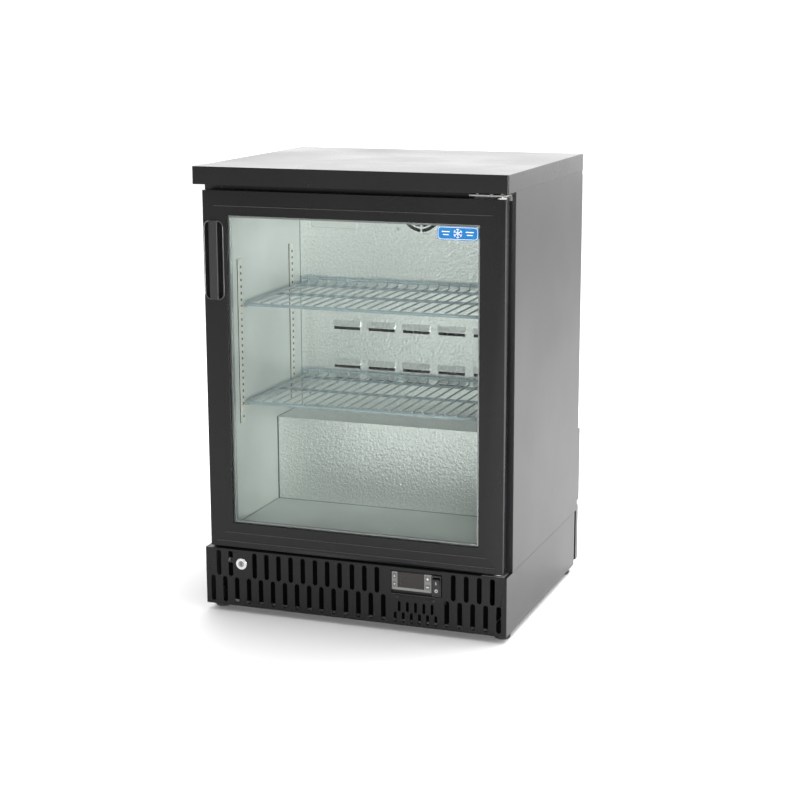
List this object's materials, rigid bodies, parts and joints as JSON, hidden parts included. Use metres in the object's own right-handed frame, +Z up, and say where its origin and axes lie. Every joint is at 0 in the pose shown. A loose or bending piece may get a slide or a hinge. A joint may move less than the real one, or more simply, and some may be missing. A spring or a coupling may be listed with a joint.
{
  "type": "undercounter refrigerator",
  "caption": "Black back-bar bottle cooler with a hinged glass door, wire shelves, slotted base front with thermostat, worktop and levelling feet.",
  "frame": {"origin": "bottom centre of the whole object's box, on the floor under the feet", "axes": "+X to the right seen from the front, +Y to the back, +Z up"},
  "size_m": [0.6, 0.52, 0.845],
  "materials": {
    "black_steel": "satin",
    "worktop_steel": "satin",
    "galvanised_steel": "satin",
    "core_board": "matte",
    "foam": "matte",
    "liner_sheet": "satin",
    "embossed_aluminium": "satin",
    "breaker_plastic": "satin",
    "coil_aluminium": "satin",
    "white_plastic": "satin",
    "black_plastic": "satin",
    "motor_steel": "satin",
    "zinc_plate": "satin",
    "coated_wire": "satin",
    "door_profile": "satin",
    "glass": "gloss",
    "spacer_aluminium": "satin",
    "gasket_rubber": "matte",
    "handle_plastic": "satin",
    "nylon": "satin",
    "chrome": "polished",
    "silver_plastic": "satin",
    "display_window": "gloss",
    "grommet_rubber": "matte",
    "copper": "satin"
  },
  "bodies": {
    "cabinet": {"worktop": "worktop_steel", "worktop_core": "core_board", "side_panel_left": "black_steel", "side_panel_right": "black_steel", "top_panel": "black_steel", "bottom_panel": "galvanised_steel", "back_panel": "galvanised_steel", "insulation_foam": "foam", "liner_panels": "liner_sheet", "liner_step": "embossed_aluminium", "breaker_frame": "breaker_plastic", "evaporator_cover": "embossed_aluminium", "evaporator_coil": "coil_aluminium", "drip_tray": "white_plastic", "evaporator_fan_motor": "motor_steel", "interior_lamp": "white_plastic", "shelf_pilasters": "zinc_plate", "shelf_clips": "zinc_plate", "hinge_plates": "zinc_plate", "hinge_pins": "zinc_plate", "base_front_grille": "black_steel", "base_side_left": "black_steel", "base_side_right": "black_steel", "base_pan": "galvanised_steel", "control_plate": "black_steel", "controller_housing": "silver_plastic", "controller_display": "display_window", "switch_frame": "black_plastic", "lock_body": "chrome", "rear_cover_upper": "black_steel", "rear_cover_lower": "black_steel", "cable_gland": "black_plastic", "compressor": "motor_steel", "compressor_grommets": "grommet_rubber", "condenser": "black_steel", "condenser_fan_motor": "motor_steel", "refrigerant_circuit": "copper", "panel_screws": "zinc_plate"},
    "door": {"door_frame": "door_profile", "glass_outer": "glass", "glass_inner": "glass", "glass_spacer": "spacer_aluminium", "door_gasket": "gasket_rubber", "handle": "handle_plastic", "hinge_bushes": "nylon"},
    "lock": {"lock_barrel": "chrome", "lock_cam": "zinc_plate"},
    "rocker": {"power_rocker": "black_plastic"},
    "evaporator_rotor": {"evaporator_fan": "black_plastic"},
    "condenser_rotor": {"condenser_fan": "black_plastic"},
    "shelf_upper": {"shelf_upper": "coated_wire"},
    "shelf_lower": {"shelf_lower": "coated_wire"},
    "button_1": {"controller_button_1": "silver_plastic"},
    "button_2": {"controller_button_2": "silver_plastic"},
    "button_3": {"controller_button_3": "silver_plastic"},
    "button_4": {"controller_button_4": "silver_plastic"},
    "foot_front_left": {"foot_front_left": "black_plastic"},
    "foot_front_right": {"foot_front_right": "black_plastic"},
    "foot_rear_left": {"foot_rear_left": "black_plastic"},
    "foot_rear_right": {"foot_rear_right": "black_plastic"}
  },
  "joints": [
    {"name": "door_hinge", "type": "hinge", "parent": "cabinet", "child": "door", "pos_m": [0.2795, -0.23, 0.464], "axis": [0, 0, 1], "range_deg": [0, 105]},
    {"name": "lock_turn", "type": "hinge", "parent": "cabinet", "child": "lock", "pos_m": [-0.2243, -0.24, 0.0972], "axis": [0, 1, 0], "range_deg": [0, 90]},
    {"name": "rocker_tilt", "type": "hinge", "parent": "cabinet", "child": "rocker", "pos_m": [0.1655, -0.24, 0.095], "axis": [1, 0, 0], "range_deg": [-14, 0]},
    {"name": "evaporator_fan_spin", "type": "hinge", "parent": "cabinet", "child": "evaporator_rotor", "pos_m": [0.0025, 0.136, 0.733], "axis": [0, 1, 0], "continuous": true},
    {"name": "condenser_fan_spin", "type": "hinge", "parent": "cabinet", "child": "condenser_rotor", "pos_m": [-0.175, 0.14, 0.128], "axis": [1, 0, 0], "continuous": true},
    {"name": "shelf_upper_lift", "type": "slide", "parent": "cabinet", "child": "shelf_upper", "axis": [0, 0, 1], "range_m": [0, 0.05]},
    {"name": "shelf_lower_lift", "type": "slide", "parent": "cabinet", "child": "shelf_lower", "axis": [0, 0, 1], "range_m": [0, 0.05]},
    {"name": "button_1_press", "type": "slide", "parent": "cabinet", "child": "button_1", "axis": [0, 1, 0], "range_m": [0, 0.0008], "stiffness_N_per_m": 300},
    {"name": "button_2_press", "type": "slide", "parent": "cabinet", "child": "button_2", "axis": [0, 1, 0], "range_m": [0, 0.0008], "stiffness_N_per_m": 300},
    {"name": "button_3_press", "type": "slide", "parent": "cabinet", "child": "button_3", "axis": [0, 1, 0], "range_m": [0, 0.0008], "stiffness_N_per_m": 300},
    {"name": "button_4_press", "type": "slide", "parent": "cabinet", "child": "button_4", "axis": [0, 1, 0], "range_m": [0, 0.0008], "stiffness_N_per_m": 300},
    {"name": "foot_front_left_turn", "type": "hinge", "parent": "cabinet", "child": "foot_front_left", "pos_m": [-0.281, -0.212, 0.02], "axis": [0, 0, 1], "continuous": true},
    {"name": "foot_front_right_turn", "type": "hinge", "parent": "cabinet", "child": "foot_front_right", "pos_m": [0.281, -0.212, 0.02], "axis": [0, 0, 1], "continuous": true},
    {"name": "foot_rear_left_turn", "type": "hinge", "parent": "cabinet", "child": "foot_rear_left", "pos_m": [-0.281, 0.196, 0.02], "axis": [0, 0, 1], "continuous": true},
    {"name": "foot_rear_right_turn", "type": "hinge", "parent": "cabinet", "child": "foot_rear_right", "pos_m": [0.281, 0.196, 0.02], "axis": [0, 0, 1], "continuous": true}
  ]
}
